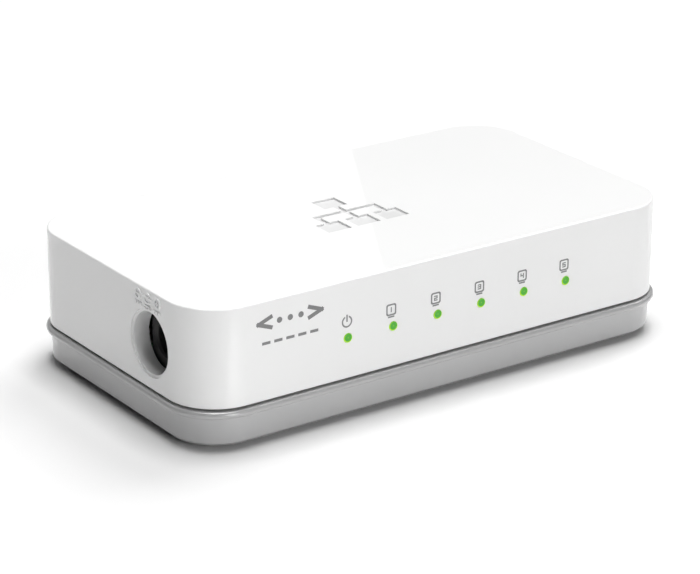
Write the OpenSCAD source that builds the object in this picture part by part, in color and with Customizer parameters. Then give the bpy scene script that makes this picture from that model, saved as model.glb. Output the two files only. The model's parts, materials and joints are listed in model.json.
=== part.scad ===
// Five-port desktop network switch.
// Millimetres, +Z up, origin at the middle of the footprint on the surface that the feet rest on.
// The front with the status lights faces -Y, the ports face +Y and the power inlet is on the -X side.

/* [Case] */
// Width of the white cover, left to right
cover_w = 100; // [98:0.5:104]
// Depth of the white cover, front to back
cover_d = 55; // [54:0.5:58]
// Overall height, with the feet
total_h = 25; // [24.5:0.5:28]
// Radius of the cover's vertical corners
corner_r = 9; // [8:0.5:9]
// Radius of the rounded edge round the top
edge_r = 0.3; // [0.2:0.05:0.6]
// Thickness of the moulded walls
wall = 1.8; // [1.5:0.1:2]
// Height of the base's rim above the surface it stands on
rim_h = 7.2; // [7.1:0.05:7.6]
// Open shadow line between the cover and the base
seam_gap = 0.45; // [0.2:0.05:0.45]
// Radius of the half-round bead along the base's rim
bead_r = 0.65; // [0.5:0.05:0.7]
// How far the bead stands out past the cover
bead_proud = 0.75; // [0.6:0.05:0.9]

/* [Feet] */
// Radius of a rubber foot
foot_r = 4; // [3:0.25:4.5]
// Height of the gap that the feet leave below the base
foot_h = 0.8; // [0.6:0.1:1.2]

/* [Status lights] */
// Distance from one light to the next
led_pitch = 9.25; // [8.5:0.05:9.5]
// Place of the power light along the front
led_first_x = -20.75; // [-22:0.05:-20]
// Height of the lights above the surface
led_z = 14.8; // [14:0.1:16]
// Radius of a light guide's round head
led_r = 0.8; // [0.7:0.02:1]

/* [Ports] */
// Number of network ports
port_count = 5; // [5]
// Distance from one port to the next
port_pitch = 14; // [13.9:0.1:14.2]

/* [Power inlet] */
// Distance of the inlet's axis in front of the case's middle
inlet_front = 12.5; // [12:0.25:13.5]
// Height of the inlet's axis
inlet_z = 15.5; // [15.2:0.1:15.8]
// Radius of the round well that the plug goes into, at its bottom
well_r = 5.25; // [5.1:0.05:5.5]
// Depth of that well
well_depth = 3.2; // [3:0.1:4]

/* [Hidden] */
$fn = 64;
ports = [1:port_count];
feet_names = ["foot_front_left", "foot_front_right", "foot_rear_left", "foot_rear_right"];

eps = 0.01;
gap = 0.02;                       // clearance between parts that fit into each other
clearance = 0.3;                  // clearance round parts that drop into openings

// Case
base_z = foot_h;
floor_z = base_z + wall;
cover_z = rim_h + seam_gap;
ceiling_z = total_h - wall;
base_inset = 0.3;                 // the base's underside stands this far inside the cover
rim_inset = 0.12;                 // and its rim this far
tongue_h = 1.15;                  // the base's inner lip stands this far above the rim
tongue_t = 1.1;
tongue_out = wall + 0.15;         // from the cover's outside to the lip's outside
tongue_in = tongue_out + tongue_t;
base_chamfer = 0.6;
inner_edge_r = 0.4;

// Circuit board
board_top = 9;
board_t = 1.6;
board_bottom = board_top - board_t;
board_w = 91.6;
board_d = 48.4;

// Screw posts in the cover, and the bosses under them in the base
post_x = 42.5;
post_y = 20.5;
post_r = 2.8;
post_foot = 5;
post_pilot_r = 1.15;
post_pilot_depth = 9;
boss_r = 3.6;
head_well_r = 2.9;
head_seat_z = 3.6;
board_screw_x = 41;
board_screw_y = 3;
support_r = 1.8;
support_places = [[-22, 22], [22, 22], [-33, -20], [33, -20], [0, -20]];

// Vents and label in the base's floor
vent_w = 1.8;
vent_l = 16;
vent_pitch = 3.6;
vent_first_x = 24.6;
vent_count = 4;
label_w = 44;
label_d = 24;
label_t = 0.1;
label_recess = 0.2;
label_r = 1.5;

foot_recess = 0.4;
foot_x = 32;
foot_y = 19;

// Ganged jack
jack_h = 13.4;
jack_d = 16;
jack_mouth_y = cover_d / 2 - 0.3;
jack_w = (port_count - 1) * port_pitch + 15.2;
jack_back_y = jack_mouth_y - jack_d;
port_w = 11.9;
port_h = 6.9;
port_depth = 12.7;
latch_w1 = 6.3;
latch_h1 = 1.6;
latch_w2 = 3.5;
latch_h2 = 1.5;
port_floor = board_top + 0.9 + latch_h1 + latch_h2;
port_ceiling = port_floor + port_h;
wire_pitch = 1.02;
wire_count = 8;
wire_r = 0.2;
wire_w = 0.45;
wire_l = 6.4;
wire_slope = 20;
comb_w = 0.7;
comb_depth = 0.6;
wire_root_y = jack_mouth_y - 2;
wire_root_z = port_ceiling - 0.3;
tail_pitch = 1.27;
tail_w = 0.5;
tail_hole_r = 0.45;
tail_rows_y = [16.5, 13.96];
jack_peg_r = 1.55;
jack_peg_x = [-33, -11, 11, 33];
jack_peg_y = 20.6;

// Power jack
well_wall = 1.4;
well_draft = 0.2;                 // the well is this much wider at its mouth
mouth_r = 5.9;                    // a shallow step runs round the mouth
mouth_step = 0.4;
well_end_x = -cover_w / 2 + well_depth;
inlet_y = -inlet_front;
dc_face_x = well_end_x + 0.2;
dc_length = 14.4;
dc_width = 9;
dc_height = 11;
dc_bore_r = 3.15;
dc_bore_depth = 9.5;
dc_pin_r = 1;
dc_pin_l = 8.5;
dc_root_r = 0.8;
dc_root_l = 2.4;
dc_root_x = dc_face_x + 11.4;
dc_leaf_l = 8.9;
dc_leaf_t = 0.3;
dc_leaf_w = 2.4;
dc_leaf_root_z = inlet_z - 3.55;
dc_leaf_slope = 6;

// Light guide and LEDs
led_x = [for (k = [0:port_count]) led_first_x + k * led_pitch];
led_y = -21.6;
led_size = [1.25, 2, 0.8];
guide_leg = 2;
guide_gap = 0.2;
guide_bar_z = 11.2;
guide_bar_h = 1.6;
guide_bar_d = 1.1;
guide_peg_r = 0.9;
guide_peg_x = [led_x[0] + led_pitch / 2, led_x[5] - led_pitch / 2];

// Parts on the board
transformer_size = [12.7, 7, 5];
transformer_y = 4.6;
transformer_lift = 0.3;
chip_at = [3, -8];
chip_w = 10;
chip_h = 1.4;
chip_lift = 0.12;
chip_leads = 12;
chip_lead_pitch = 0.75;
crystal_at = [19, -8];
crystal_size = [4.7, 11.4, 3.5];
crystal_lead_y = 2.4;
can_r = 3.15;
can_lead_r = 0.25;
can_lead_x = 1.25;
can_places = [[-27, -13.6], [-27, -5.6]];
chip_rows = [[-4, -17.6, 5], [14, -17.2, 6], [27, -4, 5], [27, -12, 5]];
chip_step = 2.2;

// ---- helpers ---------------------------------------------------------------------------

// A rounded rectangle as a true prism: two crossing blocks and four corner cylinders.
module rounded_prism(w, d, r, z0, z1) {
    translate([-w / 2 + r, -d / 2, z0]) cube([w - 2 * r, d, z1 - z0]);
    translate([-w / 2, -d / 2 + r, z0]) cube([w, d - 2 * r, z1 - z0]);
    for (sx = [-1, 1], sy = [-1, 1])
        translate([sx * (w / 2 - r), sy * (d / 2 - r), z0]) cylinder(r = r, h = z1 - z0);
}

// Runs a profile round the case's plan. Its x is measured outward from the corner's axis.
module round_the_case() {
    inner_w = cover_w - 2 * corner_r;
    inner_d = cover_d - 2 * corner_r;
    for (turn = [0:3]) {
        across = turn % 2 == 0 ? inner_w : inner_d;
        along = turn % 2 == 0 ? inner_d : inner_w;
        rotate([0, 0, 90 * turn]) translate([across / 2, along / 2, 0]) {
            rotate_extrude(angle = 90) children();
            rotate([90, 0, 0]) linear_extrude(height = along) children();
        }
    }
}

module middle_plate(z0, z1) {
    translate([-cover_w / 2 + corner_r, -cover_d / 2 + corner_r, z0])
        cube([cover_w - 2 * corner_r, cover_d - 2 * corner_r, z1 - z0]);
}

module at_each_corner(x, y) {
    for (sx = [-1, 1], sy = [-1, 1]) translate([sx * x, sy * y, 0]) children();
}

// Place number i of n, counted in steps from their middle.
function centred(i, n) = i - (n - 1) / 2;

// A block centred on x and y that stands on z = 0.
module block(size) {
    translate([-size[0] / 2, -size[1] / 2, 0]) cube(size);
}

// A bar with round ends in the plane of the drawing.
module stadium(length, r) {
    circle(r);
    translate([0, -r]) square([length, 2 * r]);
    translate([length, 0]) circle(r);
}

// ---- case ------------------------------------------------------------------------------

module cover_section() {
    difference() {
        union() {
            translate([0, cover_z]) square([corner_r, total_h - edge_r - cover_z]);
            translate([0, cover_z]) square([corner_r - edge_r, total_h - cover_z]);
            translate([corner_r - edge_r, total_h - edge_r]) circle(edge_r);
        }
        translate([-eps, cover_z - eps])
            square([corner_r - wall + eps, ceiling_z - inner_edge_r - cover_z + eps]);
        translate([-eps, cover_z - eps])
            square([corner_r - wall - inner_edge_r + eps, ceiling_z - cover_z + eps]);
        translate([corner_r - wall - inner_edge_r, ceiling_z - inner_edge_r]) circle(inner_edge_r);
    }
}

// Network tree pictogram, sunk into the top: one box above three, joined by lines.
module top_emblem() {
    depth = 0.35;
    line = 1.1;
    box_w = 4.8;
    box_d = 4.2;
    spread = 6.1;
    top_y = 5.1;
    bus_y = 0.2;
    low_y = -5.1;
    emblem_x = -2;
    module sunk(x, y, w, d) {
        translate([emblem_x + x - w / 2, y - d / 2, total_h - depth]) cube([w, d, depth + 1]);
    }
    sunk(0, top_y, box_w, box_d);
    sunk(0, (top_y + bus_y) / 2, line, top_y - bus_y);
    sunk(0, bus_y, 2 * spread + line, line);
    for (x = [-spread, 0, spread]) {
        sunk(x, low_y, box_w, box_d);
        sunk(x, (low_y + bus_y) / 2, line, bus_y - low_y);
    }
}

// Raised marks over the power inlet: centre-positive polarity, and the direct current sign.
module inlet_marks() {
    proud = 0.2;
    depth = proud + 0.5;
    line = 0.34;
    ring_r = 1;
    arc_r = 1.05;
    dot_r = 0.4;
    step = 3.05;
    row_y = inlet_y + 0.1;
    row_z = inlet_z + 7.95;
    sign_z = inlet_z + 6.35;
    sign_h = 0.24;
    module bar(y, z, w, h) {
        translate([-cover_w / 2 - proud, row_y + y - w / 2, z - h / 2]) cube([depth, w, h]);
    }
    module arc(y, r, from, sweep) {
        translate([-cover_w / 2 - proud, row_y + y, row_z]) rotate([0, 90, 0]) rotate([0, 0, from])
            rotate_extrude(angle = sweep) translate([r - line, 0]) square([line, depth]);
    }
    for (s = [-1, 1]) {
        arc(s * step, ring_r, 0, 360);
        bar(s * step, row_z, 2 * ring_r - 2.6 * line, line * 0.8);
    }
    bar(-step, row_z, line * 0.8, 2 * ring_r - 2.6 * line);
    arc(0, arc_r, -55, 290);
    translate([-cover_w / 2 - proud, row_y, row_z]) rotate([0, 90, 0]) cylinder(r = dot_r, h = depth);
    bar((step - ring_r + arc_r) / 2, row_z, step - ring_r - arc_r + line, line);
    bar(-(step - ring_r) / 2, row_z, step - ring_r + line / 2, line);
    bar(0, sign_z + 0.22, 2, sign_h);
    for (k = [-1:1]) bar(k * 0.75, sign_z - 0.22, 0.5, sign_h);
    for (s = [-1, 1], k = [0:2]) bar(s * (2.1 + k * 0.8), sign_z, 0.45, 0.6);
}

module top_cover() {
    window_w = jack_w + 2 * clearance;
    window_top = board_top + jack_h + clearance;
    color("white") difference() {
        union() {
            round_the_case() cover_section();
            middle_plate(ceiling_z, total_h);
            at_each_corner(post_x, post_y)
                translate([0, 0, post_foot]) cylinder(r = post_r, h = ceiling_z - post_foot + 0.5);
            translate([-cover_w / 2 + 0.5, inlet_y, inlet_z]) rotate([0, 90, 0])
                cylinder(r = well_r + well_wall, h = well_depth - 0.5);
            inlet_marks();
        }
        top_emblem();
        at_each_corner(post_x, post_y)
            translate([0, 0, post_foot - 1]) cylinder(r = post_pilot_r, h = post_pilot_depth + 1);
        translate([-cover_w / 2, inlet_y, inlet_z]) rotate([0, 90, 0]) {
            cylinder(r1 = well_r + well_draft, r2 = well_r, h = well_depth);
            cylinder(r = well_r, h = well_depth + 1);
            translate([0, 0, -1]) cylinder(r = mouth_r, h = mouth_step + 1);
        }
        translate([-window_w / 2, cover_d / 2 - wall - 1, cover_z - 1])
            cube([window_w, wall + 2, window_top - cover_z + 1]);
        for (x = led_x) translate([x, -cover_d / 2 - 1, led_z]) rotate([-90, 0, 0])
            cylinder(r = led_r + 0.07, h = wall + 2);
    }
}

// The numbers' strokes on a grid of three levels, as pairs of points.
function digit_strokes(n) = let (w = 0.27, h = 0.36)
    n == 1 ? [[[0, -h], [0, h]]]
    : concat(
        n == 4 ? [] : [[[-w, h], [w, h]], [[-w, -h], [w, -h]]],
        [[[-w, 0], [w, 0]]],
        n == 2 || n == 3 || n == 4 ? [[[w, 0], [w, h]]] : [],
        n == 2 ? [[[-w, -h], [-w, 0]]] : [[[w, -h], [w, 0]]],
        n == 4 || n == 5 ? [[[-w, 0], [-w, h]]] : []
    );

// A stroke with square ends between two points of the drawing.
module stroke(from, to, line) {
    run = to - from;
    translate(from) rotate(atan2(run[1], run[0])) translate([-line / 2, -line / 2])
        square([norm(run) + line, line]);
}

module power_sign(line) {
    r = 1.05;
    opening = 0.74;
    difference() {
        circle(r);
        circle(r - line);
        translate([-opening / 2, 0]) square([opening, r + 1]);
    }
    stroke([0, 0.1], [0, r + 0.05], line);
}

// A little screen with its port's number on it, on a stand.
module port_sign(n, line) {
    w = 2.04;
    h = 2.08;
    corner = 0.4;
    digit_line = 0.2;
    difference() {
        rounded_rectangle(w, h, corner);
        rounded_rectangle(w - 2 * line, h - 2 * line, corner - line / 2);
    }
    translate([-0.65, -h / 2 - 0.1 - line]) square([1.3, line]);
    for (s = digit_strokes(n)) stroke(s[0], s[1], digit_line);
}

module rounded_rectangle(w, h, r) {
    translate([-w / 2 + r, -h / 2]) square([w - 2 * r, h]);
    translate([-w / 2, -h / 2 + r]) square([w, h - 2 * r]);
    for (sx = [-1, 1], sy = [-1, 1]) translate([sx * (w / 2 - r), sy * (h / 2 - r)]) circle(r);
}

// Two arrowheads with dots between them: the usual sign for a wired network.
module network_sign(w, h) {
    line = 0.7;
    head = 2.4;
    for (s = [-1, 1], up = [-1, 1]) stroke([s * w / 2, 0], [s * (w / 2 - head), up * h / 2], line);
    for (k = [-1:1]) translate([k * 2.1, 0]) circle(0.52);
}

// Printed in grey on the front: a thin layer of ink on the cover's wall.
module front_marks() {
    line = 0.27;
    ink = 0.02;
    sign_x = -32.2;
    color([0.5, 0.5, 0.5]) translate([0, -cover_d / 2, 0]) rotate([90, 0, 0])
        linear_extrude(height = ink) {
            translate([led_x[0] - 0.2, led_z + 2.95]) power_sign(line);
            for (k = ports) translate([led_x[k] - 0.45, led_z + 3.04]) port_sign(k, line);
            translate([sign_x, led_z + 6.35]) network_sign(12.4, 1.8);
            for (k = [0:4]) translate([sign_x + centred(k, 5) * 2.35 - 0.8, led_z + 2.6])
                square([1.6, 0.5]);
        }
}

module base_section() {
    bead_z = rim_h - bead_r;
    outer_low = corner_r - base_inset;
    outer_high = corner_r - rim_inset;
    inner = corner_r - wall - rim_inset;
    lip_top = rim_h + tongue_h;
    lip_slope = tongue_in - wall - rim_inset;
    polygon([
        [0, base_z], [outer_low - base_chamfer, base_z], [outer_low, base_z + base_chamfer],
        [outer_high, bead_z - bead_r], [outer_high, rim_h],
        [corner_r - tongue_out, rim_h], [corner_r - tongue_out, lip_top],
        [corner_r - tongue_in, lip_top], [corner_r - tongue_in, rim_h - 0.9],
        [inner, rim_h - 0.9 - lip_slope], [inner, floor_z], [0, floor_z]
    ]);
    translate([corner_r + bead_proud - bead_r, bead_z]) circle(bead_r);
}

module vent_slot() {
    run = vent_l - vent_w;
    translate([-vent_w / 2, -run / 2, base_z - 1]) cube([vent_w, run, wall + 2]);
    for (s = [-1, 1]) translate([0, s * run / 2, base_z - 1]) cylinder(r = vent_w / 2, h = wall + 2);
}

module bottom_base() {
    sill_w = jack_w;
    sill_t = 1.4;
    screw_hole_r = 1.6;
    board_pilot_r = 0.98;
    color([0.69, 0.69, 0.69]) difference() {
        union() {
            difference() {
                union() {
                    round_the_case() base_section();
                    middle_plate(base_z, floor_z);
                }
                translate([-(sill_w + 1) / 2, cover_d / 2 - tongue_in - 1, rim_h])
                    cube([sill_w + 1, tongue_in + 2, tongue_h + 1]);
            }
            translate([-sill_w / 2, cover_d / 2 - rim_inset - 0.1 - sill_t, rim_h - 0.5])
                cube([sill_w, sill_t, board_top - 0.25 - rim_h + 0.5]);
            at_each_corner(post_x, post_y) translate([0, 0, floor_z - 0.5])
                cylinder(r = boss_r, h = post_foot - floor_z + 0.5);
            for (sx = [-1, 1]) translate([sx * board_screw_x, board_screw_y, floor_z - 0.5])
                cylinder(r = 2.6, h = board_bottom - floor_z + 0.5);
            for (at = support_places) translate([at[0], at[1], floor_z - 0.5])
                cylinder(r = support_r, h = board_bottom - floor_z + 0.5);
        }
        at_each_corner(post_x, post_y) {
            translate([0, 0, base_z - 1]) cylinder(r = head_well_r, h = head_seat_z - base_z + 1);
            translate([0, 0, base_z - 1]) cylinder(r = screw_hole_r, h = post_foot - base_z + 2);
        }
        for (sx = [-1, 1]) translate([sx * board_screw_x, board_screw_y, head_seat_z])
            cylinder(r = board_pilot_r, h = board_bottom);
        at_each_corner(foot_x, foot_y) translate([0, 0, base_z - 1])
            cylinder(r = foot_r + 0.15, h = foot_recess + 1);
        for (sx = [-1, 1], k = [0:vent_count - 1])
            translate([sx * (vent_first_x + k * vent_pitch), 0, 0]) vent_slot();
        rounded_prism(label_w + 0.4, label_d + 0.4, label_r, base_z - 1, base_z + label_recess);
    }
}

// A pan-head screw whose head faces down, with a cross recess.
module screw(head_r, head_h, shank_r, shank_l) {
    slot_w = head_r * 0.28;
    difference() {
        union() {
            translate([0, 0, -head_h * 0.5]) cylinder(r = head_r, h = head_h * 0.5);
            translate([0, 0, -head_h]) cylinder(r1 = head_r * 0.72, r2 = head_r, h = head_h * 0.5);
            cylinder(r = shank_r, h = shank_l - shank_r);
            translate([0, 0, shank_l - shank_r]) cylinder(r1 = shank_r, r2 = 0.3, h = shank_r);
        }
        for (turn = [0, 90]) rotate([0, 0, turn])
            translate([-head_r * 0.55, -slot_w / 2, -head_h - 1])
                cube([head_r * 1.1, slot_w, head_h * 0.6 + 1]);
    }
}

module case_screws() {
    color("silver") at_each_corner(post_x, post_y)
        translate([0, 0, head_seat_z]) screw(2.5, 1.7, post_pilot_r - gap, 10);
}

module board_screws() {
    color("silver") for (sx = [-1, 1]) translate([sx * board_screw_x, board_screw_y, board_top])
        rotate([180, 0, 0]) screw(2, 1.4, 0.96, 5);
}

module rating_label() {
    color("gainsboro") rounded_prism(label_w, label_d, label_r, base_z + label_recess - label_t,
        base_z + label_recess);
}

module foot(sx, sy) {
    top = base_z + foot_recess;
    round_r = 0.4;
    color([0.2, 0.2, 0.21]) translate([sx * foot_x, sy * foot_y, 0]) {
        cylinder(r = foot_r - round_r, h = top);
        translate([0, 0, round_r]) cylinder(r = foot_r, h = top - round_r);
        rotate_extrude() translate([foot_r - round_r, round_r]) circle(round_r);
    }
}

// ---- circuit board and what stands on it -----------------------------------------------

module circuit_board() {
    notch_r = post_r + 0.5;
    color([0.1, 0.36, 0.2]) difference() {
        translate([-board_w / 2, -board_d / 2, board_bottom]) cube([board_w, board_d, board_t]);
        for (sx = [-1, 1], sy = [-1, 1]) in_corner(sx, sy) translate([0, 0, board_bottom - 1]) {
            cylinder(r = notch_r, h = board_t + 2);
            translate([0, -notch_r, 0]) cube([8, 20, board_t + 2]);
            translate([-notch_r, 0, 0]) cube([16, 8, board_t + 2]);
        }
        for (sx = [-1, 1]) board_hole(sx * board_screw_x, board_screw_y, 1.3);
        for (x = jack_peg_x) board_hole(x, jack_peg_y, jack_peg_r + 0.08);
        for (x = guide_peg_x) board_hole(x, led_y + guide_leg / 2 + guide_bar_d / 2, guide_peg_r + 0.08);
        for (k = ports) for (at = tail_places(k)) board_hole(at[0], at[1], tail_hole_r);
        for (at = dc_tab_places()) board_hole(at[0], at[1], 1.45);
        for (s = [-1, 1]) board_hole(crystal_at[0], crystal_at[1] + s * crystal_lead_y, 0.35);
        for (at = can_places, s = [-1, 1]) board_hole(at[0] + s * can_lead_x, at[1], can_lead_r + 0.15);
    }
}

// Draws what belongs in the +X +Y corner in the corner that the signs name.
module in_corner(sx, sy) {
    translate([sx * post_x, sy * post_y, 0])
        mirror([sx < 0 ? 1 : 0, 0, 0]) mirror([0, sy < 0 ? 1 : 0, 0]) children();
}

module board_hole(x, y, r) {
    translate([x, y, board_bottom - 1]) cylinder(r = r, h = board_t + 2);
}

function port_x(k) = centred(k - 1, port_count) * port_pitch;
function tail_places(k) = [for (i = [0:wire_count - 1])
    [port_x(k) + centred(i, wire_count) * tail_pitch, tail_rows_y[i % 2]]];

module port_cavity(k) {
    open_l = port_depth + 1;
    translate([port_x(k), jack_mouth_y - port_depth, 0]) {
        translate([-port_w / 2, 0, port_floor]) cube([port_w, open_l, port_h]);
        translate([-latch_w1 / 2, 0, port_floor - latch_h1]) cube([latch_w1, open_l, latch_h1 + eps]);
        translate([-latch_w2 / 2, 0, port_floor - latch_h1 - latch_h2])
            cube([latch_w2, open_l, latch_h2 + eps]);
        for (i = [0:wire_count - 1])
            translate([centred(i, wire_count) * wire_pitch - comb_w / 2, 0, port_ceiling - eps])
                cube([comb_w, open_l, comb_depth]);
    }
}

module rj45_housing() {
    color([0.12, 0.12, 0.13]) difference() {
        union() {
            translate([-jack_w / 2, jack_back_y, board_top]) cube([jack_w, jack_d, jack_h]);
            for (x = jack_peg_x) translate([x, jack_peg_y, board_bottom - 0.8])
                cylinder(r = jack_peg_r, h = board_t + 1.3);
        }
        for (k = ports) port_cavity(k);
    }
}

module rj45_solder_pins() {
    color([0.85, 0.85, 0.8]) for (k = ports) for (at = tail_places(k))
        translate([at[0], at[1], board_bottom - 1.8]) block([tail_w, tail_w, board_t + 1.8]);
}

// Eight sprung wires: each runs from its bend near the mouth down into the port.
module port_contacts(k) {
    color([0.83, 0.66, 0.26]) for (i = [0:wire_count - 1])
        translate([port_x(k) + centred(i, wire_count) * wire_pitch - wire_w / 2, wire_root_y, wire_root_z])
            rotate([90, 0, 90]) linear_extrude(height = wire_w)
                rotate(180 + wire_slope) stadium(wire_l, wire_r);
}

module along_inlet(x) {
    translate([x, inlet_y, inlet_z]) rotate([0, 90, 0]) children();
}

module dc_jack_housing() {
    slot_w = dc_leaf_w + 0.8;
    slot_deep = 5;
    color([0.09, 0.09, 0.1]) difference() {
        translate([dc_face_x, inlet_y - dc_width / 2, board_top]) cube([dc_length, dc_width, dc_height]);
        along_inlet(dc_face_x - 1) cylinder(r = dc_bore_r, h = dc_bore_depth + 1);
        along_inlet(dc_face_x - eps) cylinder(r1 = dc_bore_r + 0.4, r2 = dc_bore_r, h = 0.4);
        along_inlet(dc_face_x + dc_bore_depth - eps) cylinder(r = dc_root_r + gap, h = dc_root_l + gap);
        translate([dc_face_x + 1.2, inlet_y - slot_w / 2, inlet_z - slot_deep])
            cube([11.2, slot_w, slot_deep]);
    }
}

module dc_centre_pin() {
    tip = 0.5;
    root_x = dc_face_x + dc_bore_depth;
    color([0.8, 0.8, 0.78]) {
        along_inlet(root_x - dc_pin_l + tip) cylinder(r = dc_pin_r, h = dc_pin_l - tip);
        along_inlet(root_x - dc_pin_l) cylinder(r1 = dc_pin_r - tip, r2 = dc_pin_r, h = tip);
        along_inlet(root_x - eps) cylinder(r = dc_root_r, h = dc_root_l + eps);
    }
}

module dc_spring_contact() {
    color([0.8, 0.8, 0.78])
        translate([dc_root_x, inlet_y + dc_leaf_w / 2, dc_leaf_root_z]) rotate([90, 0, 0])
            linear_extrude(height = dc_leaf_w)
                rotate(180 - dc_leaf_slope) stadium(dc_leaf_l, dc_leaf_t / 2);
}

function dc_tab_places() = [
    [dc_face_x + dc_length - 1, inlet_y], [dc_face_x + dc_length - 7, inlet_y],
    [dc_face_x + dc_length - 4, inlet_y - 3]
];

module dc_solder_tabs() {
    color([0.8, 0.8, 0.78]) for (at = dc_tab_places())
        translate([at[0], at[1], board_bottom - 1.8]) block([0.7, 2.4, board_t + 1.8]);
}

// One clear moulding: six right-angle pipes on a bar that two pegs hold on the board.
module light_guide() {
    leg_bottom = board_top + led_size[2] + guide_gap;
    leg_top = led_z + 1.1;
    front_y = -cover_d / 2 - 0.1;
    bar_y = led_y + guide_leg / 2;
    color([0.85, 0.95, 0.85, 0.6]) {
        for (x = led_x) {
            difference() {
                translate([x, led_y, leg_bottom]) block([guide_leg, guide_leg, leg_top - leg_bottom]);
                translate([x, led_y + guide_leg / 2, leg_top - 1.3]) rotate([45, 0, 0])
                    translate([-guide_leg, 0, 0]) cube([2 * guide_leg, 3, 3]);
            }
            translate([x, front_y, led_z]) rotate([-90, 0, 0])
                cylinder(r = led_r, h = led_y - guide_leg / 2 - front_y + 0.3);
        }
        translate([led_x[0] - guide_leg / 2, bar_y - eps, guide_bar_z])
            cube([led_x[5] - led_x[0] + guide_leg, guide_bar_d + eps, guide_bar_h]);
        for (x = guide_peg_x) translate([x, bar_y + guide_bar_d / 2, 0]) {
            translate([0, 0, board_top]) cylinder(r = 1.4, h = guide_bar_z - board_top + 0.5);
            translate([0, 0, board_bottom - 0.6]) cylinder(r = guide_peg_r, h = board_t + 0.7);
        }
    }
}

module status_led(k) {
    color([0.75, 0.95, 0.6]) translate([led_x[k], led_y, board_top]) {
        block([led_size[0], led_size[1], led_size[2] - 0.3]);
        block([led_size[0] * 0.8, led_size[1] * 0.6, led_size[2]]);
    }
}

module lan_transformer(k) {
    color([0.13, 0.13, 0.14]) translate([port_x(k), transformer_y, board_top + transformer_lift])
        block(transformer_size);
}

// A gull-wing lead drawn outward along +Y from the side of its package.
module gull_wing(w, drop) {
    t = 0.18;
    reach = 1.1;
    translate([-w / 2, 0, board_top]) rotate([90, 0, 90]) linear_extrude(height = w) polygon([
        [0, drop + t], [0, drop], [reach * 0.35, drop], [reach * 0.35, 0], [reach, 0],
        [reach, t], [reach * 0.35 + t, t], [reach * 0.35 + t, drop + t]
    ]);
}

module transformer_leads() {
    color([0.82, 0.82, 0.8]) for (k = ports, i = [0:7], turn = [0, 180])
        translate([port_x(k), transformer_y, 0]) rotate([0, 0, turn])
            translate([(i - 3.5) * 1.4, transformer_size[1] / 2, 0]) gull_wing(0.45, 1.2);
}

module switch_chip() {
    dot_in = chip_w / 2 - 1.2;
    color([0.11, 0.11, 0.12]) difference() {
        translate([chip_at[0], chip_at[1], board_top + chip_lift]) block([chip_w, chip_w, chip_h]);
        translate([chip_at[0] - dot_in, chip_at[1] - dot_in, board_top + chip_lift + chip_h - 0.1])
            cylinder(r = 0.5, h = 1);
    }
}

module switch_chip_leads() {
    color([0.82, 0.82, 0.8]) for (turn = [0:3], i = [0:chip_leads - 1])
        translate([chip_at[0], chip_at[1], 0]) rotate([0, 0, 90 * turn])
            translate([centred(i, chip_leads) * chip_lead_pitch, chip_w / 2, 0]) gull_wing(0.3, 0.6);
}

module crystal() {
    r = crystal_size[0] / 2;
    run = crystal_size[1] - 2 * r;
    color([0.78, 0.78, 0.76]) translate([crystal_at[0], crystal_at[1], board_top + 0.2]) {
        translate([-r, -run / 2, 0]) cube([2 * r, run, crystal_size[2]]);
        for (s = [-1, 1]) translate([0, s * run / 2, 0]) cylinder(r = r, h = crystal_size[2]);
    }
}

module crystal_leads() {
    color([0.82, 0.82, 0.8]) for (s = [-1, 1])
        translate([crystal_at[0], crystal_at[1] + s * crystal_lead_y, board_bottom - 1])
            cylinder(r = 0.22, h = board_t + 1.2);
}

module power_inductor() {
    color([0.25, 0.25, 0.26]) translate([-17, -12, board_top]) {
        difference() {
            block([6, 6, 3]);
            for (turn = [0:3]) rotate([0, 0, 45 + 90 * turn]) translate([3.6, -3, -1]) cube([3, 6, 5]);
        }
        translate([0, 0, 3 - eps]) cylinder(r = 2.1, h = 0.15);
    }
}

module regulator_chip() {
    color([0.12, 0.12, 0.13]) translate([-17, -3.9, board_top]) {
        translate([0, 0, 0.15]) block([4.9, 3.9, 1.5]);
        for (i = [0:3], s = [-1, 1])
            translate([(i - 1.5) * 1.27, s * 2.3, 0]) block([0.42, 0.9, 0.3]);
    }
}

module protection_diode() {
    color([0.14, 0.14, 0.15]) translate([-34, -20.8, board_top]) {
        translate([0, 0, 0.1]) block([4.3, 2.6, 2.1]);
        for (s = [-1, 1]) translate([s * 2.3, 0, 0]) block([0.8, 1.5, 1]);
    }
}

// An electrolytic can with its crimped neck, and its two leads through the board.
module capacitor_can(at) {
    neck = 0.3;
    neck_z = 1;
    neck_h = 0.7;
    can_h = 10.8;
    color([0.16, 0.2, 0.34]) translate([at[0], at[1], board_top]) {
        cylinder(r = can_r, h = neck_z);
        translate([0, 0, neck_z]) cylinder(r = can_r - neck, h = neck_h);
        translate([0, 0, neck_z + neck_h]) cylinder(r = can_r, h = can_h - neck_z - neck_h);
        translate([0, 0, can_h]) cylinder(r1 = can_r, r2 = can_r - neck, h = neck);
        for (s = [-1, 1]) translate([s * can_lead_x, 0, -board_t - 1])
            cylinder(r = can_lead_r, h = board_t + 1.2);
    }
}

module chip_resistors() {
    color([0.12, 0.12, 0.12]) for (row = chip_rows, i = [0:row[2] - 1])
        translate([row[0] + i * chip_step, row[1], board_top]) block([0.85, 1.6, 0.45]);
}

module chip_capacitors() {
    color([0.72, 0.6, 0.42]) for (row = chip_rows, i = [0:row[2] - 1])
        translate([row[0] + i * chip_step, row[1] + chip_step, board_top]) block([0.8, 1.6, 0.7]);
}

// ---- nodes -----------------------------------------------------------------------------

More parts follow.
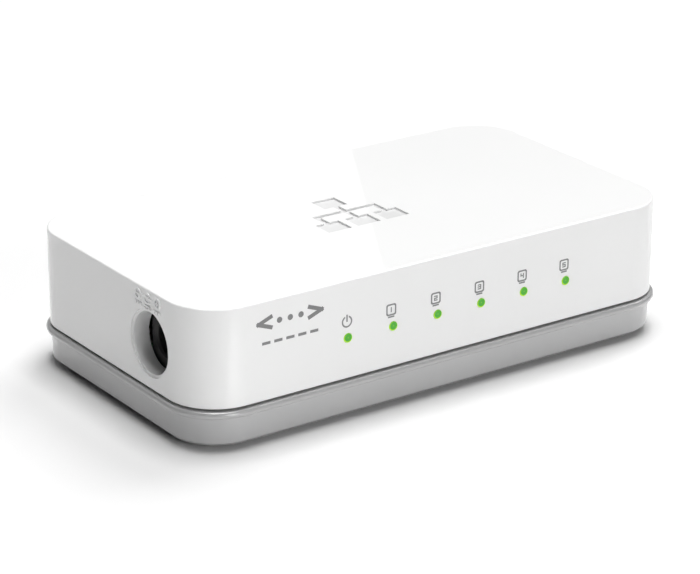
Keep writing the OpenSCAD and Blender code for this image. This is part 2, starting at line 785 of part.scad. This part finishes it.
top_cover();
front_marks();
bottom_base();
case_screws();
rating_label();
foot(-1, -1);  // foot_front_left
foot(1, -1);  // foot_front_right
foot(-1, 1);  // foot_rear_left
foot(1, 1);  // foot_rear_right
circuit_board();
board_screws();
rj45_housing();
rj45_solder_pins();
for (k = ports) port_contacts(k);
dc_jack_housing();
dc_centre_pin();
dc_spring_contact();
dc_solder_tabs();
light_guide();
status_led(0);  // status_led_power
for (k = ports) status_led(k);
for (k = ports) lan_transformer(k);
transformer_leads();
switch_chip();
switch_chip_leads();
crystal();
crystal_leads();
power_inductor();
regulator_chip();
protection_diode();
capacitor_can(can_places[0]);  // input_capacitor
capacitor_can(can_places[1]);  // output_capacitor
chip_resistors();
chip_capacitors();
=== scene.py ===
"""Looks of a small desktop network switch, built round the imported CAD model. Units are metres."""
import json
import math

import bpy
from mathutils import Matrix, Vector


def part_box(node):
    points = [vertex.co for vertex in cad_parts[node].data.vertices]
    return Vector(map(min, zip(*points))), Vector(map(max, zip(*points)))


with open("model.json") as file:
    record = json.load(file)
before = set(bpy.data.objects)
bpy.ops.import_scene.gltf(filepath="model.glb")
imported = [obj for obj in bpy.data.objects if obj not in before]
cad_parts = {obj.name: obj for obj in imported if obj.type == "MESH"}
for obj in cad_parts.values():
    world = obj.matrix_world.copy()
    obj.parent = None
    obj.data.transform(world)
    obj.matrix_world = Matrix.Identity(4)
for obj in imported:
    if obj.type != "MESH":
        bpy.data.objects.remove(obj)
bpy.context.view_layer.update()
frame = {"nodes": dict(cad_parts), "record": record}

MM = 0.001
NODES = frame["nodes"]


def middle_x(node):
    low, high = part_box(node)
    return (low.x + high.x) / 2


# Places that the materials need, from the frame where it has them
PORTS = 5
LAMP_FIRST = middle_x("status_led_power")
LAMP_PITCH = (middle_x("status_led_5") - LAMP_FIRST) / PORTS
LAMP_R = 0.8 * MM
LAMP_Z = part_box("light_guide")[1].z - 0.22 * MM - LAMP_R  # the guide stands this little above its heads
FRONT_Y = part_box("top_cover")[0].y
TOP_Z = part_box("top_cover")[1].z
EMBLEM_REACH = 14 * MM  # the sunk emblem lies within this of the middle
RIM_Z = 7.2 * MM  # top of the base's rim, where the seam starts
SILL_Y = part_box("top_cover")[1].y - 3 * MM  # the sill under the sockets lies behind this


# ---- node helpers ----------------------------------------------------------------------

class Paint:
    """A material's node tree with short calls for the nodes that this scene uses."""

    def __init__(self, name, color, roughness, **sockets):
        self.material = bpy.data.materials.new(name)
        self.material.use_nodes = True
        self.tree = self.material.node_tree
        self.shader = self.tree.nodes["Principled BSDF"]
        self.shader.inputs["Base Color"].default_value = (*color, 1)
        self.shader.inputs["Roughness"].default_value = roughness
        for socket, value in sockets.items():
            self.shader.inputs[socket.replace("_", " ")].default_value = value
        self.place = self.tree.nodes.new("ShaderNodeTexCoord").outputs["Object"]
        self.normal = None

    def node(self, kind, **settings):
        made = self.tree.nodes.new(kind)
        for key, value in settings.items():
            setattr(made, key, value)
        return made

    def link(self, source, target):
        self.tree.links.new(source, target)

    def moved(self, scale=(1, 1, 1), location=(0, 0, 0)):
        """The place on the object, stretched and shifted, for a texture to read."""
        made = self.node("ShaderNodeMapping")
        made.inputs["Scale"].default_value = scale
        made.inputs["Location"].default_value = location
        self.link(self.place, made.inputs["Vector"])
        return made.outputs["Vector"]

    def noise(self, per_mm, detail=2.0, roughness=0.5, source=None):
        """Noise whose features are 1 / per_mm millimetres across."""
        made = self.node("ShaderNodeTexNoise")
        made.inputs["Scale"].default_value = per_mm / MM
        made.inputs["Detail"].default_value = detail
        made.inputs["Roughness"].default_value = roughness
        self.link(source or self.place, made.inputs["Vector"])
        return made.outputs["Fac"]

    def cells(self, per_mm):
        """Cells that are 1 / per_mm millimetres across: the distance from each one's centre."""
        made = self.node("ShaderNodeTexVoronoi", feature="F1")
        made.inputs["Scale"].default_value = per_mm / MM
        self.link(self.place, made.inputs["Vector"])
        return made.outputs["Distance"]

    def math(self, operation, a, b=0.0, c=0.0):
        made = self.node("ShaderNodeMath", operation=operation)
        for socket, value in zip(made.inputs, (a, b, c)):
            if isinstance(value, bpy.types.NodeSocket):
                self.link(value, socket)
            else:
                socket.default_value = value
        return made.outputs[0]

    def spread(self, source, low, high, to_low=0.0, to_high=1.0, smooth=False):
        """Maps source from low..high to to_low..to_high, and clamps it."""
        made = self.node("ShaderNodeMapRange")
        made.interpolation_type = "SMOOTHSTEP" if smooth else "LINEAR"
        for socket, value in zip(list(made.inputs)[1:5], (low, high, to_low, to_high)):
            socket.default_value = value
        self.link(source, made.inputs["Value"])
        return made.outputs["Result"]

    def axes(self):
        made = self.node("ShaderNodeSeparateXYZ")
        self.link(self.place, made.inputs[0])
        return made.outputs

    def mix(self, factor, a, b):
        """A colour between a and b. Either may be a socket."""
        made = self.node("ShaderNodeMix", data_type="RGBA")
        self.link(factor, made.inputs["Factor"])
        colours = [s for s in made.inputs if s.type == "RGBA"]
        for socket, value in zip(colours, (a, b)):
            if isinstance(value, bpy.types.NodeSocket):
                self.link(value, socket)
            else:
                socket.default_value = (*value, 1)
        return [s for s in made.outputs if s.type == "RGBA"][0]

    def color(self, socket):
        self.link(socket, self.shader.inputs["Base Color"])

    def roughness(self, socket, low, high):
        self.link(self.spread(socket, 0, 1, low, high), self.shader.inputs["Roughness"])

    def rounded(self, radius_mm):
        """Shades hard edges as if they had this radius. Bumps that follow are laid over it."""
        made = self.node("ShaderNodeBevel", samples=6)
        made.inputs["Radius"].default_value = radius_mm * MM
        self.normal = made.outputs["Normal"]
        self.link(self.normal, self.shader.inputs["Normal"])
        self.link(self.normal, self.shader.inputs["Coat Normal"])

    def bump(self, height, depth_mm):
        made = self.node("ShaderNodeBump")
        made.inputs["Strength"].default_value = 1.0
        made.inputs["Distance"].default_value = depth_mm * MM
        self.link(height, made.inputs["Height"])
        if self.normal:
            self.link(self.normal, made.inputs["Normal"])
        self.normal = made.outputs["Normal"]
        self.link(self.normal, self.shader.inputs["Normal"])


def white_cover():
    """Polished white moulding: a sharp gloss over a clouded, fine-grained body. The sunk emblem's floor is
    painted darker, as painted shade in its recess.
    """
    p = Paint("cover_white", (0.84, 0.84, 0.84), 0.42, Coat_Weight=0.8, Coat_Roughness=0.012,
              Specular_IOR_Level=0.65)
    p.rounded(0.07)
    cloud = p.noise(0.04, 3)
    grain = p.noise(2.2, 4, 0.6)
    x, y, z = p.axes()
    reach = p.math("MAXIMUM", p.math("ABSOLUTE", x), p.math("ABSOLUTE", y))
    inside = p.math("LESS_THAN", reach, EMBLEM_REACH)
    # Painted shade: the floor of the sunk emblem, 0.15 to 0.3 mm below the top, is coloured darker grey
    painted_recess_shade = p.math("MULTIPLY", inside, p.spread(z, TOP_Z - 0.15 * MM, TOP_Z - 0.3 * MM))
    gloss = p.mix(cloud, (0.838, 0.84, 0.838), (0.858, 0.858, 0.856))
    p.color(p.mix(painted_recess_shade, gloss, (0.7, 0.7, 0.7)))
    smears = p.noise(0.35, 5, 0.65)
    p.roughness(p.math("MULTIPLY_ADD", smears, 0.7, p.math("MULTIPLY", grain, 0.3)), 0.36, 0.5)
    p.bump(grain, 0.0015)
    p.bump(p.noise(0.09, 2), 0.004)
    return p.material


def grey_base():
    """Satin grey moulding with a fine spark-eroded grain. Its tongue, deep in the seam, is painted near black
    as the seam's painted shade.
    """
    p = Paint("base_grey", (0.4, 0.4, 0.405), 0.42, Coat_Weight=1.0, Coat_Roughness=0.13, Coat_IOR=1.7)
    x, y, z = p.axes()
    cloud = p.mix(p.noise(0.06, 3), (0.395, 0.395, 0.398), (0.43, 0.43, 0.433))
    # Painted shade: the tongue above the rim top, seen through the seam's gap, is coloured near black, except
    # at the sill under the sockets
    painted_seam_shade = p.math("MULTIPLY", p.spread(z, RIM_Z, RIM_Z + 0.05 * MM), p.math("LESS_THAN", y, SILL_Y))
    p.color(p.mix(painted_seam_shade, cloud, (0.06, 0.06, 0.06)))
    p.roughness(p.noise(1.2, 4), 0.36, 0.5)
    p.bump(p.noise(6, 3, 0.7), 0.003)
    p.bump(p.cells(4), 0.0015)
    return p.material


def grey_ink():
    """A thin even coat of print."""
    p = Paint("ink_grey", (0.2, 0.2, 0.2), 0.45)
    p.color(p.mix(p.noise(4, 4, 0.7), (0.19, 0.19, 0.192), (0.225, 0.225, 0.228)))
    p.roughness(p.noise(6, 3), 0.35, 0.55)
    p.bump(p.noise(14, 2), 0.003)
    return p.material


def black_nylon():
    """Glass-filled black moulding, with faint flow marks along the sockets."""
    tone = 0.009
    p = Paint("jack_black", (tone, tone, tone * 1.08), 0.5)
    p.rounded(0.1)
    flow = p.noise(0.5, 4, 0.6, p.moved((1, 0.25, 1)))
    p.color(p.mix(flow, (tone * 0.8,) * 3, (tone * 1.5, tone * 1.5, tone * 1.6)))
    p.roughness(p.noise(1.6, 4), 0.4, 0.62)
    p.bump(p.noise(7, 3, 0.7), 0.008)
    return p.material


def rubber():
    """Matte rubber with a little dust on it."""
    p = Paint("rubber_dark", (0.035, 0.035, 0.037), 0.8, Sheen_Weight=0.15, Sheen_Roughness=0.5)
    p.rounded(0.2)
    dust = p.spread(p.noise(0.8, 5, 0.7), 0.5, 0.75)
    p.color(p.mix(dust, (0.03, 0.03, 0.032), (0.075, 0.073, 0.07)))
    p.roughness(p.noise(3, 3), 0.7, 0.92)
    p.bump(p.noise(9, 3, 0.7), 0.015)
    return p.material


def metal(name, tone, dark, low, high, stretch=(1, 1, 1), per_mm=6):
    """Metal whose drawing marks run along the axis that stretch makes small, with darker patches."""
    p = Paint(name, tone, (low + high) / 2, Metallic=1.0)
    p.rounded(0.05)
    streak = p.noise(per_mm, 4, 0.6, p.moved(stretch))
    tarnish = p.spread(p.noise(0.7, 4, 0.6), 0.4, 0.75)
    p.color(p.mix(tarnish, tone, dark))
    p.roughness(streak, low, high)
    p.bump(streak, 0.003)
    return p.material


def lit_guide():
    """Clear moulding whose round heads glow green, with a thin paler rim."""
    p = Paint("guide_clear", (0.3, 0.62, 0.2), 0.16, IOR=1.49)
    x, y, z = p.axes()
    step = p.math("DIVIDE", p.math("SUBTRACT", x, LAMP_FIRST), LAMP_PITCH)
    across = p.math("MULTIPLY", p.math("SUBTRACT", step, p.math("ROUND", step)), LAMP_PITCH)
    up = p.math("SUBTRACT", z, LAMP_Z)
    radius = p.math("SQRT", p.math("ADD", p.math("POWER", across, 2.0), p.math("POWER", up, 2.0)))
    rim = p.spread(radius, LAMP_R * 0.8, LAMP_R, smooth=True)
    spot = p.spread(radius, LAMP_R * 0.25, 0.0, 0.0, 0.3, smooth=True)
    head = p.spread(y, FRONT_Y + 1.5 * MM, FRONT_Y + 0.6 * MM)
    glow = p.mix(p.math("MAXIMUM", rim, spot), (0.035, 0.22, 0.012), (0.28, 0.46, 0.015))
    p.color(p.mix(head, (0.72, 0.78, 0.70), glow))
    p.link(glow, p.shader.inputs["Emission Color"])
    p.link(p.math("MULTIPLY", head, 0.85), p.shader.inputs["Emission Strength"])
    p.roughness(p.noise(2, 3), 0.12, 0.24)
    p.bump(p.noise(1.2, 2), 0.006)
    return p.material


def led_resin():
    """Tinted resin that glows through itself."""
    p = Paint("led_body", (0.6, 0.8, 0.45), 0.2, Emission_Strength=0.4)
    glow = p.mix(p.noise(2, 3), (0.35, 0.85, 0.15), (0.55, 0.95, 0.35))
    p.color(glow)
    p.link(glow, p.shader.inputs["Emission Color"])
    p.roughness(p.noise(4, 2), 0.12, 0.3)
    return p.material


def blank_label():
    """Silvered film with a thin printed frame and nothing in it."""
    p = Paint("label_silver", (0.6, 0.6, 0.61), 0.38)
    low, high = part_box("rating_label")
    x, y, z = p.axes()
    edge_x = p.math("SUBTRACT", (high.x - low.x) / 2, p.math("ABSOLUTE", x))
    edge_y = p.math("SUBTRACT", (high.y - low.y) / 2, p.math("ABSOLUTE", y))
    edge = p.math("MINIMUM", edge_x, edge_y)
    line = p.math("MULTIPLY", p.math("GREATER_THAN", edge, 1.1 * MM), p.math("LESS_THAN", edge, 1.35 * MM))
    film = p.mix(p.noise(3, 4, 0.7), (0.62, 0.62, 0.625), (0.7, 0.7, 0.705))
    p.color(p.mix(line, film, (0.2, 0.2, 0.2)))
    p.roughness(p.noise(2, 4), 0.3, 0.48)
    p.bump(p.noise(0.5, 3), 0.012)
    return p.material


def solder_mask():
    """Green board: copper tracks show through the mask as slightly raised, lighter lines."""
    p = Paint("board_green", (0.02, 0.1, 0.045), 0.3, Coat_Weight=0.4, Coat_Roughness=0.15)
    lanes = p.node("ShaderNodeTexBrick", offset=0.37, squash=1.0)
    lanes.inputs["Scale"].default_value = 1 / MM
    lanes.inputs["Mortar Size"].default_value = 0.11
    lanes.inputs["Brick Width"].default_value = 6.3
    lanes.inputs["Row Height"].default_value = 1.1
    p.link(p.moved(), lanes.inputs["Vector"])
    patch = p.spread(p.noise(0.09, 1), 0.44, 0.5)
    track = p.math("MULTIPLY", lanes.outputs["Fac"], patch)
    pour = p.spread(p.noise(0.07, 0, source=p.moved(location=(0.03, 0.05, 0))), 0.52, 0.53)
    copper = p.math("MAXIMUM", track, pour)
    p.color(p.mix(copper, (0.012, 0.07, 0.03), (0.03, 0.17, 0.06)))
    p.roughness(p.noise(1.5, 4), 0.2, 0.38)
    p.bump(copper, 0.035)
    p.bump(p.noise(5, 3), 0.006)
    return p.material


def moulded_epoxy():
    """Matte black chip body with the fine pits of its mould."""
    p = Paint("chip_black", (0.02, 0.02, 0.022), 0.55)
    p.rounded(0.1)
    p.color(p.mix(p.noise(1, 4), (0.016, 0.016, 0.018), (0.03, 0.03, 0.031)))
    p.roughness(p.noise(3, 3), 0.45, 0.7)
    p.bump(p.noise(9, 3, 0.7), 0.012)
    return p.material


def ferrite():
    """Pressed and sintered grey-black powder."""
    p = Paint("ferrite", (0.05, 0.05, 0.052), 0.7)
    p.rounded(0.15)
    p.color(p.mix(p.cells(4), (0.035, 0.035, 0.037), (0.075, 0.075, 0.078)))
    p.roughness(p.noise(3, 3), 0.6, 0.85)
    p.bump(p.noise(5, 4, 0.7), 0.03)
    return p.material


def shrink_sleeve():
    """Dark blue plastic film, shrunk over a can in faint upright wrinkles."""
    p = Paint("can_sleeve", (0.02, 0.028, 0.07), 0.25, Coat_Weight=0.3)
    p.rounded(0.25)
    p.color(p.mix(p.noise(0.6, 3), (0.016, 0.022, 0.055), (0.028, 0.04, 0.095)))
    p.roughness(p.noise(2, 3), 0.18, 0.36)
    p.bump(p.noise(0.8, 2, source=p.moved((1, 1, 0.15))), 0.02)
    return p.material


def ceramic():
    """Fired tan body of the small chip parts."""
    p = Paint("ceramic_tan", (0.45, 0.3, 0.15), 0.5)
    p.color(p.mix(p.noise(2, 3), (0.36, 0.23, 0.11), (0.52, 0.37, 0.2)))
    p.roughness(p.noise(4, 3), 0.4, 0.65)
    p.bump(p.noise(8, 3), 0.01)
    return p.material


MATERIALS = {
    "cover_white": white_cover(),
    "ink_grey": grey_ink(),
    "base_grey": grey_base(),
    "rubber_dark": rubber(),
    "screw_steel": metal("screw_steel", (0.62, 0.61, 0.59), (0.42, 0.41, 0.38), 0.22, 0.42),
    "label_silver": blank_label(),
    "board_green": solder_mask(),
    "jack_black": black_nylon(),
    "contact_gold": metal("contact_gold", (0.86, 0.62, 0.24), (0.62, 0.42, 0.15), 0.16, 0.34, (1, 0.1, 1)),
    "pin_nickel": metal("pin_nickel", (0.68, 0.65, 0.6), (0.5, 0.47, 0.42), 0.14, 0.32, (0.1, 1, 1)),
    "tinned_copper": metal("tinned_copper", (0.64, 0.64, 0.62), (0.45, 0.44, 0.42), 0.28, 0.5),
    "guide_clear": lit_guide(),
    "led_body": led_resin(),
    "chip_black": moulded_epoxy(),
    "crystal_can": metal("crystal_can", (0.66, 0.66, 0.65), (0.5, 0.5, 0.49), 0.2, 0.36, (1, 1, 0.1), 3),
    "ferrite": ferrite(),
    "can_sleeve": shrink_sleeve(),
    "ceramic_tan": ceramic(),
}
SLOT = {s["node"]: s["material_slot"] for s in frame["record"]["subparts"]}


# ---- pieces ----------------------------------------------------------------------------

def paint_node(name):
    data = NODES[name].data
    data.materials.clear()
    data.materials.append(MATERIALS[SLOT[name]])


for name in NODES:
    paint_node(name)


# ---- studio ----------------------------------------------------------------------------

def studio_floor():
    """A white floor that starts to glow well away from the object, so it never ends in the dark."""
    mesh = bpy.data.meshes.new("floor")
    half = 3.0
    corners = [(-half, -half, 0), (half, -half, 0), (half, half, 0), (-half, half, 0)]
    mesh.from_pydata(corners, [], [(0, 1, 2, 3)])
    floor = bpy.data.objects.new("floor", mesh)
    bpy.context.scene.collection.objects.link(floor)
    p = Paint("floor_white", (0.78, 0.78, 0.78), 0.7, Emission_Color=(1, 1, 1, 1))
    p.color(p.mix(p.noise(0.01, 3), (0.775, 0.775, 0.775), (0.785, 0.785, 0.785)))
    x, y, z = p.axes()
    away = p.math("SQRT", p.math("ADD", p.math("POWER", x, 2.0), p.math("POWER", y, 2.0)))
    p.link(p.spread(away, 0.4, 1.0, smooth=True), p.shader.inputs["Emission Strength"])
    mesh.materials.append(p.material)


# Soft boxes: azimuth from the front, positive to the right, elevation, distance, width, height, watts
SOFTBOXES = {
    "front": (-3, 18, 1.0, 0.4, 0.4, 3.6),
    "side": (112, 53, 1.0, 0.6, 0.5, 5.5),
    "overhead": (0, 90, 1.0, 0.5, 0.5, 9.1),
    "back": (180, 27.5, 0.84, 1.1, 0.8, 1.3),
}
SOFTBOX_AIM = Vector((0, 0, 0.02))

# A narrow lamp on the floor before the near corner. The rounded corner mirrors its glow.
POOL_AIM = Vector((-0.039, -0.062, 0))
POOL = {"azimuth": 8, "elevation": 32, "distance": 0.5}
POOL_CONE, POOL_WATTS = 2.6, 20


def place_lamp(name, lamp, aim, azimuth, elevation, distance):
    made = bpy.data.objects.new(name, lamp)
    turn, rise = math.radians(azimuth), math.radians(elevation)
    away = Vector((math.sin(turn) * math.cos(rise), -math.cos(turn) * math.cos(rise), math.sin(rise)))
    made.location = aim + away * distance
    made.rotation_euler = away.to_track_quat("Z", "Y").to_euler()
    bpy.context.scene.collection.objects.link(made)


def softbox(name, azimuth, elevation, distance, width, height, watts):
    lamp = bpy.data.lights.new(name, "AREA")
    lamp.shape = "RECTANGLE"
    lamp.size, lamp.size_y, lamp.energy = width, height, watts
    place_lamp(name, lamp, SOFTBOX_AIM, azimuth, elevation, distance)


def floor_pool():
    lamp = bpy.data.lights.new("pool", "SPOT")
    lamp.spot_size, lamp.spot_blend = math.radians(POOL_CONE), 0.4
    lamp.shadow_soft_size, lamp.energy = 0.003, POOL_WATTS
    place_lamp("pool", lamp, POOL_AIM, **POOL)


def studio_light():
    scene = bpy.context.scene
    scene.view_settings.view_transform = "Standard"
    world = bpy.data.worlds.new("studio")
    scene.world = world
    world.use_nodes = True
    tree = world.node_tree
    tree.nodes["Background"].inputs["Color"].default_value = (1, 1, 1, 1)
    # A white backdrop that lights nothing, so the softboxes alone shape the object
    seen = tree.nodes.new("ShaderNodeLightPath").outputs["Is Camera Ray"]
    tree.links.new(seen, tree.nodes["Background"].inputs["Strength"])
    for name, numbers in SOFTBOXES.items():
        softbox(name, *numbers)
    floor_pool()


CAMERA_AT = Vector((-0.2679, -0.3793, 0.1926))
CAMERA_TURN = {"azimuth": -35.13, "elevation": 21.43, "roll": 0.27}
LENS, SENSOR = 144.67, 36


def camera():
    """Looks at the front's left corner from above, through a long lens."""
    azimuth, elevation, roll = (math.radians(angle) for angle in CAMERA_TURN.values())
    data = bpy.data.cameras.new("camera")
    data.lens, data.sensor_width = LENS, SENSOR
    data.clip_start = 0.02
    made = bpy.data.objects.new("camera", data)
    aim = (
        Matrix.Rotation(azimuth, 4, "Z")
        @ Matrix.Rotation(math.pi / 2 - elevation, 4, "X")
        @ Matrix.Rotation(roll, 4, "Z")
    )
    made.matrix_world = Matrix.Translation(CAMERA_AT) @ aim
    bpy.context.scene.collection.objects.link(made)
    bpy.context.scene.camera = made


camera()
studio_floor()
studio_light()
